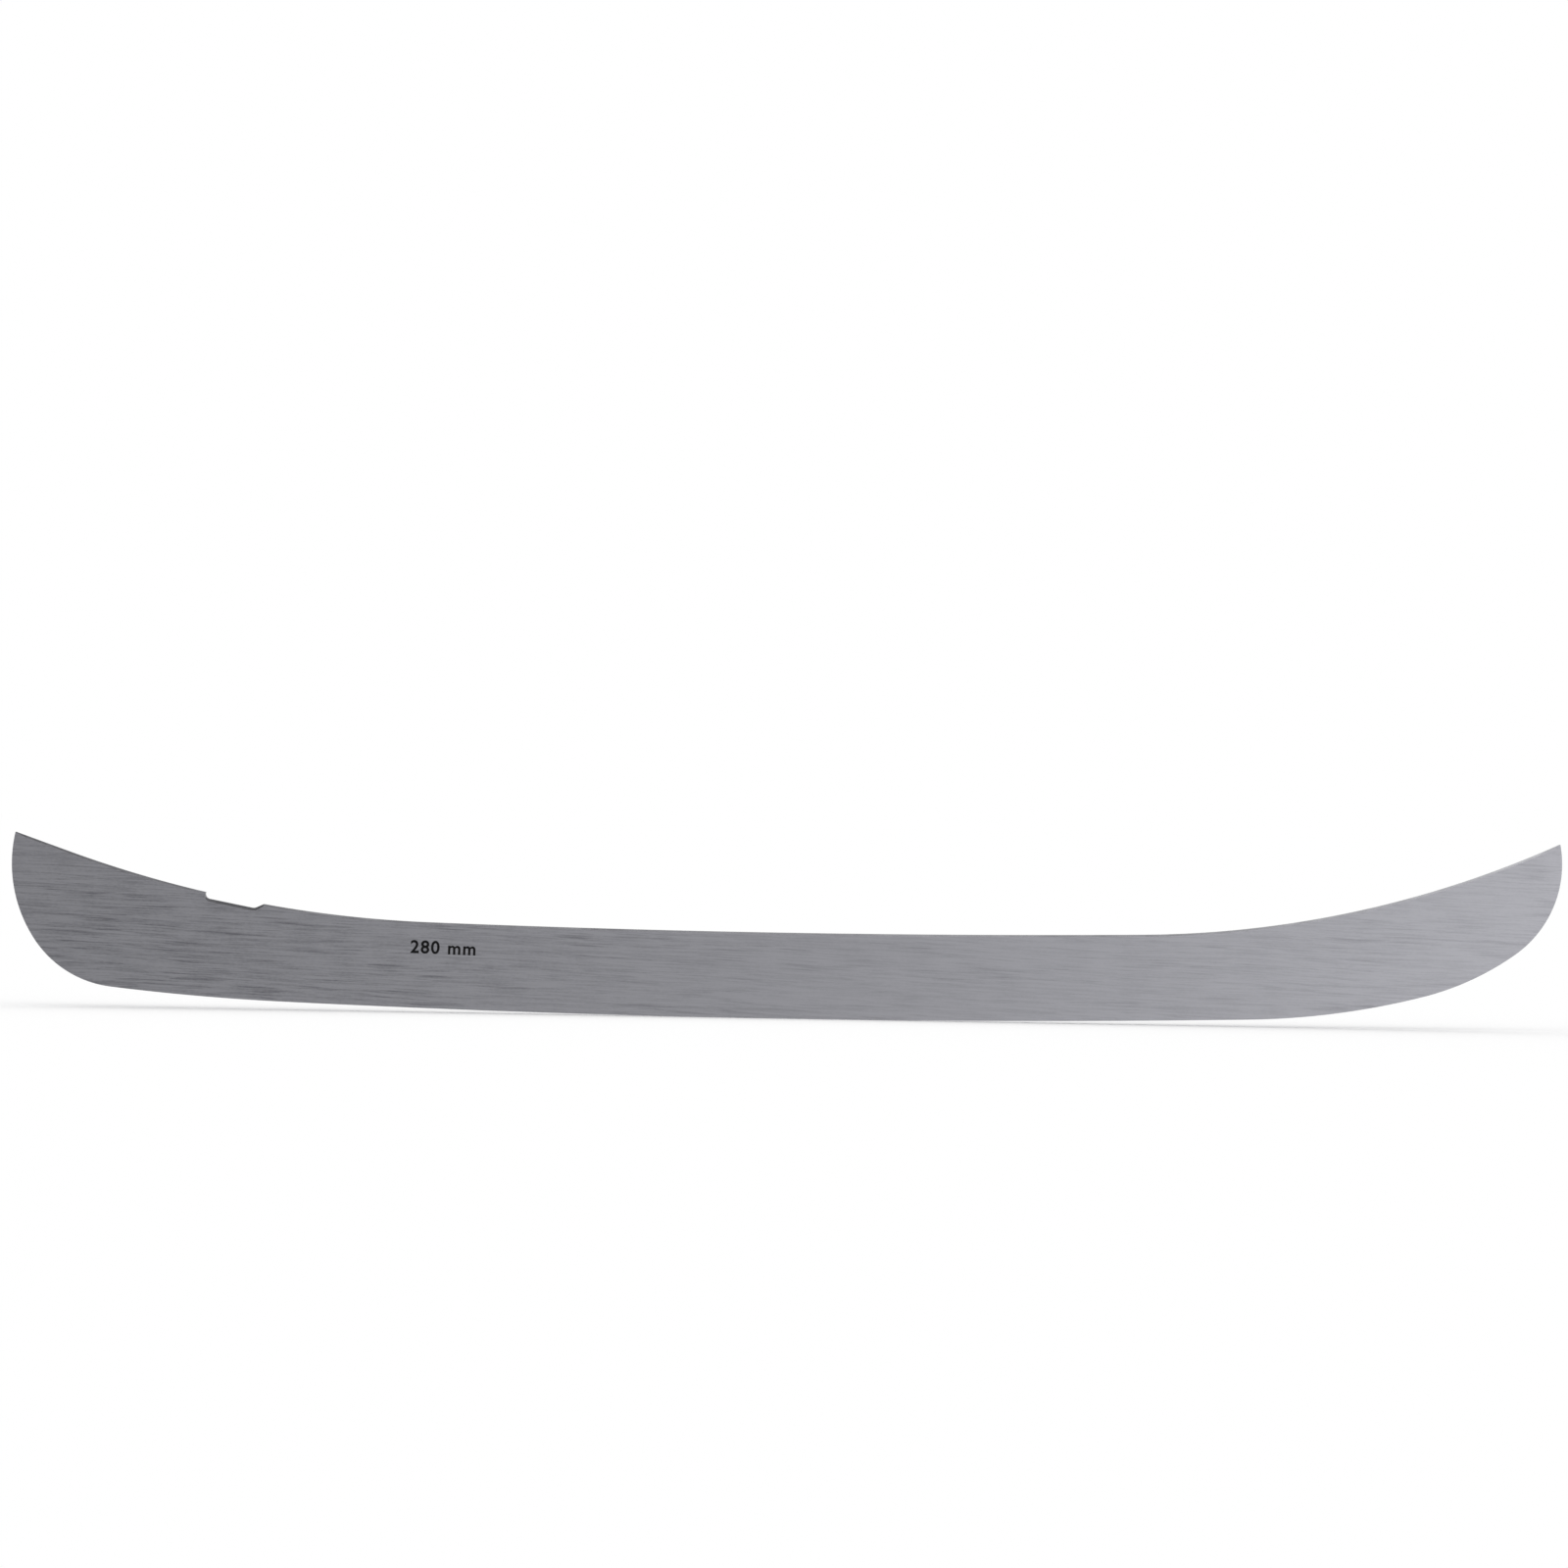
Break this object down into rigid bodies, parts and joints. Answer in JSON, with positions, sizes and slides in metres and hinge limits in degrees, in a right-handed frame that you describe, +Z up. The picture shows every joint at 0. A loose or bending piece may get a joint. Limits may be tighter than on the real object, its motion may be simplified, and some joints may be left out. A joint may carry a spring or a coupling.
{
  "type": "hockey skate blade",
  "caption": "Flat steel skate runner with a rockered, hollow-ground running edge, a rounded heel, an upswept toe, and a concave chamfered top edge with a shallow latch notch.",
  "frame": {"origin": "the point at mid-length where the rocker touches level ice, midway across the thickness", "axes": "+X forward to the toe, +Y to the skater's left across the thickness, +Z up from the ice"},
  "size_m": [0.28, 0.003, 0.0339],
  "materials": {
    "steel": "hardened stainless steel, sides brushed along the length, running edge ground bright"
  },
  "bodies": {
    "root": {"runner": "steel"}
  },
  "joints": []
}
